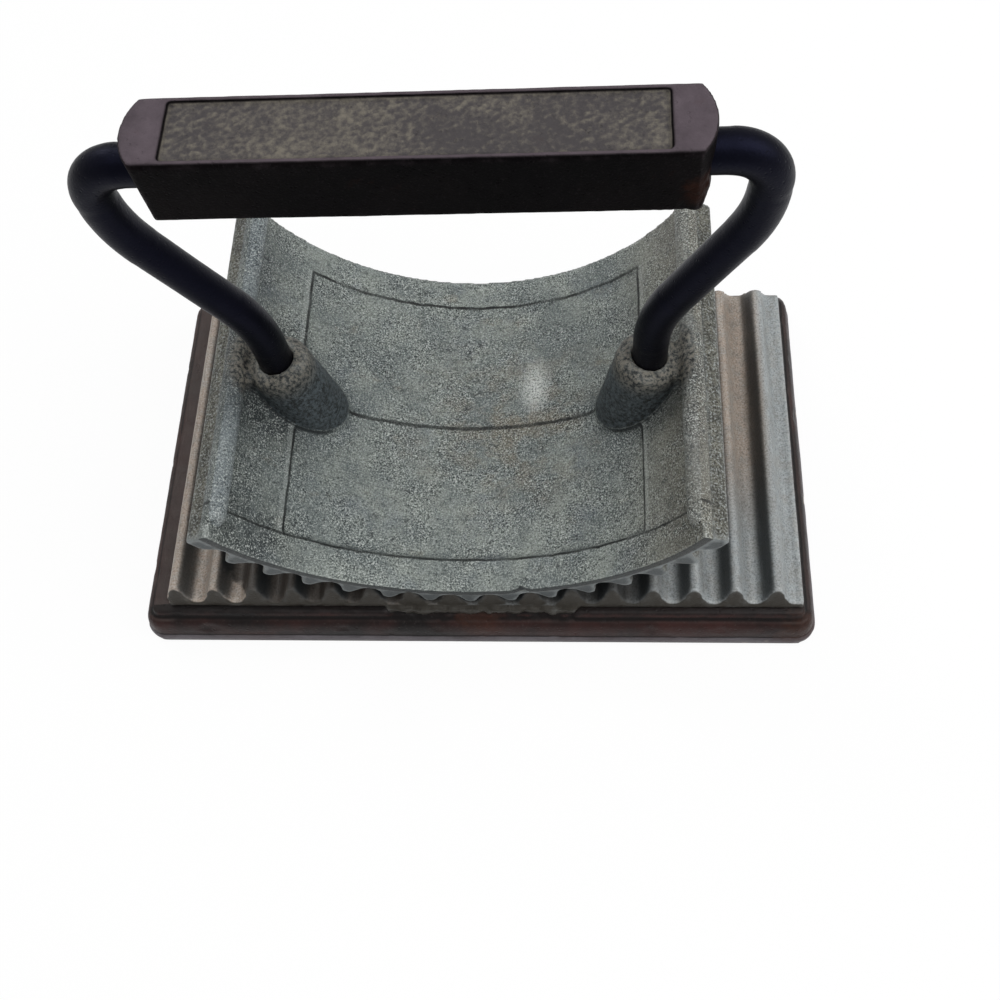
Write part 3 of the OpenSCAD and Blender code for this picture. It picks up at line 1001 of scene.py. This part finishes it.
FINISHES: dict[Shade, Finish] = {
    Shade.BASE: JapanFinish(
        "base_japan", body="361d1a", dark="0d0808", bright="5d5453", stain_and_shade="080505",
        specular=0.2, rough_low=0.34, rough_high=0.55, rub=0.16, grain_size=0.8,
        rust_spots=((69, -41, 4, 9), (2, -40, 8.5, 9)), rust_amount=0.5,
        dust="4b4340", dust_amount=0.85, dust_from_x_mm=64.0, band="625e62", band_mm=2.9,
        crevice_mm=(37.5, 39.7), seams_mm=((7.95, 0.45), (3.05, 0.3)),
        chip_spots=((31, -43, 0.6, 4.5), (60, -43, 0.6, 4), (73, 12, 2.5, 3), (73, -10, 2.5, 3))),
    Shade.BED: BedFinish(
        "bed_zinc", body="9c9b96", dark="787772", bright="b9bec0", stain_and_shade="1c1916",
        rough_low=0.4, rough_high=0.6, rub=0.06, dirt=0.1, grain_share=0.35),
    Shade.SHELL: ShellFinish(
        "rocker_casting", body="8d948e", dark="6f7776", bright="c3c8c4", stain_and_shade="22282a",
        rough_low=0.42, rough_high=0.64, bump_mm=0.2, rub=0.25, grain_size=1.25),
    Shade.SOLE: SoleFinish(
        "sole_zinc", body="6d6c62", dark="4b4b45", bright="9da3a3", stain_and_shade="141413",
        rough_high=0.66, bump_mm=0.1, rub=0.48, grain_share=0.8),
    Shade.ROD: JapanFinish(
        "rod_black", body="07070b", dark="040406", bright="20222c", stain_and_shade="030304",
        specular=0.12, sheen_tint="b0b7ff", rough_low=0.3, rough_high=0.5, bump_mm=0.05, rub=0.12,
        dirt=0.2, dust="15161f", dust_amount=0.35, speckle=0.1),
    Shade.GRIP: JapanFinish(
        "grip_iron", body="0b0809", dark="050405", bright="4c4448", stain_and_shade="040303",
        specular=0.03, rough_low=0.4, rough_high=0.62, bump_mm=0.12, rub=0.25, dirt=0.5,
        rust_spots=((42, -6, 103, 6),), rust_amount=0.3, dust="5c5359", dust_amount=1.1, speckle=0.06,
        floor_mm=GRIP_FLOOR_MM),
}


@dataclass(frozen=True)
class Skin:
    """How a casting's skin departs from its exact solid, in millimetres."""

    voxel: float
    seed: float
    soften: int = 1
    wave: float = 0.05
    wave_size: float = 12.0
    lumps: float = 0.03
    lump_size: float = 2.0


def cloud_at(points: Array, size: float, seed: float) -> Array:
    """Smooth noise at points.

    Args:
        points: places in millimetres, one row each.
        size: how wide the blots are, in millimetres.
        seed: a shift that makes one cloud differ from another.

    Returns:
        A value between about minus one and one for each point.
    """
    shift = Vector([share * seed for share in SEED_SHIFT])
    return np.array([noise.noise(Vector(p) + shift) for p in points / size])


def ragged_at(points: Array, size: float, seeds: Pair) -> Array:
    """Rough noise at points: blots of one size, in millimetres, with finer ones over them."""
    fine_size, fine_share = 0.8, 0.6
    return cloud_at(points, size, seeds[0]) + fine_share * cloud_at(points, fine_size, seeds[1])


def ramp(values: Array, low: float, high: float) -> Array:
    """A mask that runs from nothing at low to one at high."""
    return np.clip((values - low) / (high - low), 0, 1)


def around(values: Array, edges: Array) -> Array:
    """The mean of the values at each point's next points.

    Args:
        values: one value for each point.
        edges: the two points of each edge.

    Returns:
        One mean for each point.
    """
    size = len(values)
    total = np.bincount(edges[:, 0], values[edges[:, 1]], size)
    total += np.bincount(edges[:, 1], values[edges[:, 0]], size)
    return total / np.bincount(edges.ravel(), minlength=size).clip(1)


def placed(name: str, data: bpy.types.ID) -> bpy.types.Object:
    """A new object in the scene.

    Args:
        name: the object's name.
        data: its mesh, lamp or camera.

    Returns:
        The object.
    """
    made = bpy.data.objects.new(name, data)
    bpy.context.scene.collection.objects.link(made)
    return made


def along_gate(points: Array) -> Array:
    """A mask along the broken pour gate at the front of the bed.

    Args:
        points: places in millimetres, one row each.

    Returns:
        One value for each point.
    """
    x, y = points[:, 0], points[:, 1]
    outer, inner = GATE_FADE_MM
    from_left = ramp(x, GATE_LEFT_MM - outer, GATE_LEFT_MM + inner)
    to_right = ramp(x, GATE_RIGHT_MM + outer, GATE_RIGHT_MM - inner)
    return from_left * to_right * ramp(y, *GATE_FRONT_MM)


@dataclass
class Casting:
    """One cast piece: a softened, slightly uneven copy that stands for its exact solid."""

    node: str
    body: str
    shade: Shade
    skin: Skin

    def softened(self) -> bpy.types.Mesh:
        """The exact solid as an even mesh in millimetres, with its sharp edges eased.

        Returns:
            The even mesh.
        """
        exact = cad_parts[self.node].data.copy()
        exact.transform(Matrix.Scale(1 / MM, 4))
        helper = placed(self.node + "_raw", exact)
        remesh = helper.modifiers.new("even", "REMESH")
        remesh.mode = "VOXEL"
        remesh.voxel_size = self.skin.voxel
        smooth = helper.modifiers.new("ease", "SMOOTH")
        smooth.factor = 0.5
        smooth.iterations = self.skin.soften
        ready = helper.evaluated_get(bpy.context.evaluated_depsgraph_get())
        mesh = bpy.data.meshes.new_from_object(ready)
        bpy.data.objects.remove(helper)
        bpy.data.meshes.remove(exact)
        mesh.name = self.node + "_cast"
        return mesh

    def carve(self, points: Array, normals: Array) -> Array:
        """Where each point of the even mesh goes, in millimetres.

        Args:
            points: the even mesh's points.
            normals: the direction out of the surface at each point.

        Returns:
            The points with the casting's waves and lumps.
        """
        skin = self.skin
        slow = cloud_at(points, skin.wave_size, skin.seed)
        lumps = cloud_at(points, skin.lump_size, skin.seed + 5)
        return points + normals * (skin.wave * slow + skin.lumps * lumps)[:, None]

    def bends(self, points: Array, normals: Array, edges: Array) -> Array:
        """How sharply the surface bends out at each point: more than zero on edges, less in hollows.

        Args:
            points: the even mesh's points, in millimetres.
            normals: the direction out of the surface at each point.
            edges: the two points of each edge.

        Returns:
            One value for each point.
        """
        middle = np.stack([around(column, edges) for column in points.T], 1)
        bend = ((points - middle) * normals).sum(1) / self.skin.voxel
        for _ in range(BEND_ROUNDS):
            bend = 0.5 * bend + 0.5 * around(bend, edges)
        return bend

    def carved(self) -> bpy.types.Mesh:
        """The softened mesh with its carved skin, in metres, and its edges and hollows marked.

        Returns:
            The mesh, ready to be dressed.
        """
        mesh = self.softened()
        points = np.empty(len(mesh.vertices) * 3)
        normals = np.empty(len(mesh.vertices) * 3, np.float32)
        edges = np.empty(len(mesh.edges) * 2, np.int32)
        mesh.vertices.foreach_get("co", points)
        mesh.vertex_normals.foreach_get("vector", normals)
        mesh.edges.foreach_get("vertices", edges)
        points, normals, edges = points.reshape(-1, 3), normals.reshape(-1, 3), edges.reshape(-1, 2)
        bend = self.bends(points, normals, edges)
        mesh.vertices.foreach_set("co", (self.carve(points, normals) * MM).ravel())
        for name, values in ((EDGE_ATTRIBUTE, bend), (HOLLOW_ATTRIBUTE, -bend)):
            mark = mesh.attributes.new(name, "FLOAT", "POINT")
            mark.data.foreach_set("value", ramp(values, 0, FULL_BEND).astype(np.float32))
        mesh.shade_smooth()
        mesh.update()
        return mesh

    def build(self, effects: Effects) -> bpy.types.Object:
        """Makes the piece and dresses it.

        Args:
            effects: the shared node groups.

        Returns:
            The finished piece, riding on its body in its solid's place.
        """
        mesh = self.carved()
        piece = placed(self.node + "_cast", mesh)
        mesh.materials.clear()
        mesh.materials.append(FINISHES[self.shade].material(effects))
        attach(piece, self.body)
        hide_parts(self.node)
        log.info("%s: %d points for %s", piece.name, len(mesh.vertices), self.node)
        return piece


@dataclass
class BaseIron(Casting):
    """The iron base, chipped along its edges, broken at the gate and flat underneath."""

    chip: float = 0.9
    chip_size: float = 4.0
    chip_above: float = 0.36
    chip_height: Pair = (1.2, 3.5)
    seams: Pair = (7.95, 2.95)
    seam_depth: float = 0.22
    seam_half: float = 0.4
    gate_break: float = 0.35
    gate_grain: float = 1.7
    gate_height: Pair = (7.4, 8.2)
    flat_height: float = 0.4

    def carve(self, points: Array, normals: Array) -> Array:
        """The casting's skin with chips on its outer edges and a ragged gate, and a flat underside.

        Args:
            points: the even mesh's points, in millimetres.
            normals: the direction out of the surface at each point.

        Returns:
            Where each point goes.
        """
        moved = super().carve(points, normals)
        z = points[:, 2]
        bites = np.clip(cloud_at(points, self.chip_size, 31.0) - self.chip_above, 0, 1)
        side = np.hypot(normals[:, 0], normals[:, 1])
        moved -= normals * (self.chip * bites * ramp(z, *self.chip_height) * side)[:, None]
        for at in self.seams:
            groove = np.exp(-((z - at) / self.seam_half) ** 2)
            moved -= normals * (self.seam_depth * groove * side)[:, None]
        ragged = ragged_at(points, self.gate_grain, (37.0, 38.0))
        moved[:, 2] += self.gate_break * ragged * along_gate(points) * ramp(z, *self.gate_height)
        flat = z < self.flat_height
        moved[flat] = points[flat]
        return moved


@dataclass
class FlutedBed(Casting):
    """The bed, ragged along the broken pour gate and its front foot."""

    foot_tear: float = 0.12
    foot_grain: float = 1.9
    foot_front: Pair = (-37.0, -38.0)
    foot_height: Pair = (12.4, 10.4)
    gate_break: float = 0.45

    def carve(self, points: Array, normals: Array) -> Array:
        """The casting's skin with a torn front foot.

        Args:
            points: the even mesh's points, in millimetres.
            normals: the direction out of the surface at each point.

        Returns:
            Where each point goes.
        """
        moved = super().carve(points, normals)
        foot = ramp(points[:, 1], *self.foot_front) * ramp(points[:, 2], *self.foot_height)
        torn = foot * ragged_at(points, self.foot_grain, (41.0, 43.0))
        moved += normals * (torn * (self.foot_tear + self.gate_break * along_gate(points)))[:, None]
        return moved


@dataclass
class RockerShell(Casting):
    """The shell, with a torn nick in its front rim and rough bosses."""

    nick: Pair = (11.2, -38.0)
    nick_depth: float = 0.8
    nick_reach: float = 1.3
    nick_stretch: float = 0.6
    nick_tear: float = 0.7
    nick_grain: float = 0.9
    boss_grain: float = 1.5
    boss_rough: float = 0.16
    boss_inner: Pair = (4.4, 5.2)
    boss_outer: Pair = (9.0, 8.4)
    boss_radius: Pair = (RAISED_R_MM, RAISED_R_MM - 0.8)

    def carve(self, points: Array, normals: Array) -> Array:
        """The casting's skin with the nick and the bosses' rough outsides.

        Args:
            points: the even mesh's points, in millimetres.
            normals: the direction out of the surface at each point.

        Returns:
            Where each point goes.
        """
        moved = super().carve(points, normals)
        x, y, z = points.T
        axis = BOSS_X_MM - (BOSS_TOP_MM - z) * BOSS_SLOPE
        off = np.hypot(np.abs(x) - axis, y)
        outside = ramp(off, *self.boss_inner) * ramp(off, *self.boss_outer)
        outside *= ramp(np.hypot(x, ROLL_Z_MM - z), *self.boss_radius)
        lumpy = ragged_at(points, self.boss_grain, (53.0, 54.0))
        moved += normals * (self.boss_rough * outside * lumpy)[:, None]
        off = np.hypot(x - self.nick[0], self.nick_stretch * (y - self.nick[1]))
        uneven = 1 + self.nick_tear * cloud_at(points, self.nick_grain, 51.0)
        torn = np.exp(-(off / self.nick_reach) ** 2) * uneven
        moved[:, 1] += self.nick_depth * torn
        return moved


@dataclass
class FlutedSole(Casting):
    """The sole, whose cast front face swells out towards the shell's rim."""

    swell: float = 0.45
    swell_front: Pair = (-36.2, -37.0)

    def carve(self, points: Array, normals: Array) -> Array:
        """The casting's skin with the swollen front face.

        Args:
            points: the even mesh's points, in millimetres.
            normals: the direction out of the surface at each point.

        Returns:
            Where each point goes.
        """
        moved = super().carve(points, normals)
        moved[:, 1] -= self.swell * ramp(points[:, 1], *self.swell_front)
        return moved


@dataclass
class HandleGrip(Casting):
    """The grip, with a stippled floor in its sunk panel and a rough lower end."""

    stipple: float = 0.2
    hatch_pitch: float = 1.3
    hatch_lean: Pair = (0.5, 0.86)
    hatch_drift: float = 0.5
    hatch_share: float = 0.22
    dimple_share: float = 0.6
    floor_facing: float = 0.5
    panel_x: Pair = (36.2, 35.6)
    panel_y: Pair = (5.2, 4.7)
    panel_z: Pair = (110.3, 110.6)
    rough_end: Point = (40.0, -6.0, 101.0)
    end_rough: float = 0.25
    end_reach_squared: float = 30.0

    def carve(self, points: Array, normals: Array) -> Array:
        """The casting's skin with the stippled floor and the rough end.

        Args:
            points: the even mesh's points, in millimetres.
            normals: the direction out of the surface at each point.

        Returns:
            Where each point goes.
        """
        moved = super().carve(points, normals)
        x, y, z = points.T
        floor = ramp(np.abs(x), *self.panel_x) * ramp(np.abs(y), *self.panel_y) * ramp(z, *self.panel_z)
        drift = self.hatch_drift * cloud_at(points, 3.0, 62.0)
        across = self.hatch_lean[0] * x - self.hatch_lean[1] * y + drift
        hatch = self.hatch_share * np.sin(across * 2 * math.pi / self.hatch_pitch)
        dimples = self.dimple_share * cloud_at(points, 2.2, 64.0)
        bumps = hatch + cloud_at(points, 0.8, 61.0) + dimples
        stippled = self.stipple * bumps * floor * (normals[:, 2] > self.floor_facing)
        end = np.exp(-((points - self.rough_end) ** 2).sum(1) / self.end_reach_squared)
        rough = self.end_rough * end * cloud_at(points, 1.3, 63.0)
        moved += normals * (stippled + rough)[:, None]
        return moved


@dataclass(frozen=True)
class Softbox:
    """A square lamp that faces the iron, in metres and watts."""

    name: str
    place: Point
    side: float
    power: float

    def build(self, target: Vector) -> bpy.types.Object:
        """Makes the lamp and turns it to the target.

        Args:
            target: the point that it faces.

        Returns:
            The lamp.
        """
        data = bpy.data.lights.new(self.name, "AREA")
        data.shape = "SQUARE"
        data.size = self.side
        data.energy = self.power
        lamp = placed(self.name, data)
        lamp.location = self.place
        lamp.rotation_euler = (target - lamp.location).to_track_quat("-Z", "Y").to_euler()
        return lamp


@dataclass(frozen=True)
class Viewpoint:
    """The photograph's camera: its place in millimetres, its angles in degrees, and pixels for the rest."""

    place: Point = (24.53, -111.22, 231.26)
    pitch: float = 65.884
    yaw: float = -9.527
    roll: float = -8.87
    focal_px: float = 1099.7
    middle_px: Pair = (513.1, 500.4)
    clip_start: float = 0.01

    def build(self) -> bpy.types.Object:
        """Makes the camera and sets it as the scene's own.

        Returns:
            The camera.
        """
        pitch, yaw, roll = (math.radians(a) for a in (self.pitch, self.yaw, self.roll))
        ahead = Vector((math.sin(yaw) * math.cos(pitch), math.cos(yaw) * math.cos(pitch), -math.sin(pitch)))
        level = Vector((math.cos(yaw), -math.sin(yaw), 0.0))
        rise = level.cross(ahead)
        right = math.cos(roll) * level + math.sin(roll) * rise
        up = math.cos(roll) * rise - math.sin(roll) * level
        data = bpy.data.cameras.new("photo_camera")
        data.sensor_width = SENSOR_MM
        data.lens = self.focal_px * SENSOR_MM / IMAGE_SIDE_PX
        data.shift_x = 0.5 - self.middle_px[0] / IMAGE_SIDE_PX
        data.shift_y = self.middle_px[1] / IMAGE_SIDE_PX - 0.5
        data.clip_start = self.clip_start
        camera = placed("photo_camera", data)
        turn = Matrix((right, up, -ahead)).transposed().to_4x4()
        camera.matrix_world = Matrix.Translation(Vector(self.place) * MM) @ turn
        bpy.context.scene.camera = camera
        return camera


@dataclass
class Studio:
    """A white table under soft light."""

    floor_side: float = 6.0
    floor_white: Colour = (0.9, 0.9, 0.9, 1.0)
    floor_glow: float = 0.93
    sky_white: Colour = (1.0, 1.0, 1.0, 1.0)
    sky_strength: float = 0.42
    aim: Point = (0.0, 0.0, 0.05)
    lamps: tuple[Softbox, ...] = (
        Softbox("top", place=(0.12, -0.1, 1.0), side=0.9, power=4.2),
        Softbox("side_right", place=(0.6, -0.1, 0.6), side=0.6, power=3.0),
        Softbox("glint_left_back", place=(-0.45, 0.46, 0.66), side=0.3, power=1.5),
    )

    def seen(self, graph: Graph) -> Socket:
        """A mask for what the camera itself sees."""
        return graph.add("LightPath")["Is Camera Ray"]

    def table_white(self) -> bpy.types.Material:
        """A white that keeps a soft shadow and glows only where the camera itself sees it.

        Returns:
            The material.
        """
        pale = bpy.data.materials.new("table_white")
        pale.use_nodes = True
        nodes = pale.node_tree.nodes
        graph = Graph(pale.node_tree)
        nodes.remove(nodes["Principled BSDF"])
        matt = graph.add("BsdfDiffuse", {"Color": self.floor_white})[0]
        glowing = graph.maths("MULTIPLY", self.seen(graph), self.floor_glow)
        mixed = graph.add("MixShader", {0: glowing, 1: matt, 2: graph.add("Emission")[0]})[0]
        graph.feed(nodes["Material Output"].inputs["Surface"], mixed)
        return pale

    def floor(self) -> None:
        """Makes the pale floor."""
        half = self.floor_side / 2
        mesh = bpy.data.meshes.new("table_top")
        corners = [(-half, -half, 0), (half, -half, 0), (half, half, 0), (-half, half, 0)]
        mesh.from_pydata(corners, [], [(0, 1, 2, 3)])
        table = placed("table_top", mesh)
        mesh.materials.append(self.table_white())

    def sky(self) -> None:
        """Sets an even white surround."""
        world = bpy.data.worlds.new("white_room")
        bpy.context.scene.world = world
        world.use_nodes = True
        graph = Graph(world.node_tree)
        back = world.node_tree.nodes["Background"].inputs
        back["Color"].default_value = self.sky_white
        graph.feed(back["Strength"], graph.span(self.seen(graph), self.sky_strength, 1.0))

    def build(self) -> None:
        """Makes the floor, the surround and the lamps."""
        self.floor()
        self.sky()
        for lamp in self.lamps:
            lamp.build(Vector(self.aim))


CASTINGS: tuple[Casting, ...] = (
    BaseIron("base_plate", "base", Shade.BASE, Skin(
        voxel=0.62, seed=1.0, wave=0.1, wave_size=16.0, lumps=0.04, lump_size=2.4)),
    FlutedBed("fluted_bed", "base", Shade.BED, Skin(voxel=0.6, seed=2.0)),
    RockerShell("rocker_shell", "rocker", Shade.SHELL, Skin(
        voxel=0.52, seed=3.0, wave_size=14.0, lump_size=1.6)),
    FlutedSole("fluted_sole", "rocker", Shade.SOLE, Skin(voxel=0.56, seed=4.0)),
    Casting("bail_rod", "rocker", Shade.ROD, Skin(voxel=0.4, seed=5.0, soften=3, lumps=0.012)),
    HandleGrip("handle_grip", "rocker", Shade.GRIP, Skin(
        voxel=0.32, seed=6.0, soften=2, wave=0.06, wave_size=10.0, lump_size=1.6)),
)


def main() -> None:
    """Builds the camera, the studio and every piece."""
    logging.basicConfig(level=logging.INFO, format="%(message)s")
    bpy.context.scene.view_settings.view_transform = "Standard"
    Viewpoint().build()
    Studio().build()
    effects = Effects.make()
    for casting in CASTINGS:
        casting.build(effects)
    bpy.context.view_layer.update()


if __name__ == "__main__":
    main()
